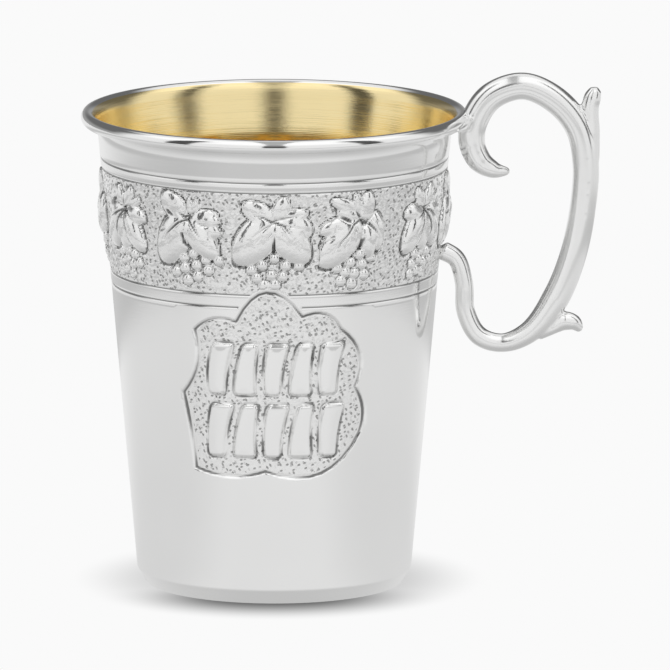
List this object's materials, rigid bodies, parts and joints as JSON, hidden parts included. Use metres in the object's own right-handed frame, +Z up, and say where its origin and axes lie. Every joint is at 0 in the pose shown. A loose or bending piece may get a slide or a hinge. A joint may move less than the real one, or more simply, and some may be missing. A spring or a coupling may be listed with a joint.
{
  "type": "kiddush cup",
  "caption": "Small tapered silver drinking cup, gilt inside, with a rolled lip, a chased vine band, a lobed cartouche and a cast scroll handle.",
  "frame": {"origin": "on the cup's axis, at its flat underside", "axes": "+Z up the cup's axis, -Y out of the front with the cartouche, +X towards the handle"},
  "size_m": [0.0817, 0.0608, 0.0809],
  "materials": {
    "silver": "polished",
    "cast_silver": "polished",
    "gilt": "polished"
  },
  "bodies": {
    "root": {"cup_body": "silver", "handle": "cast_silver"}
  },
  "joints": []
}
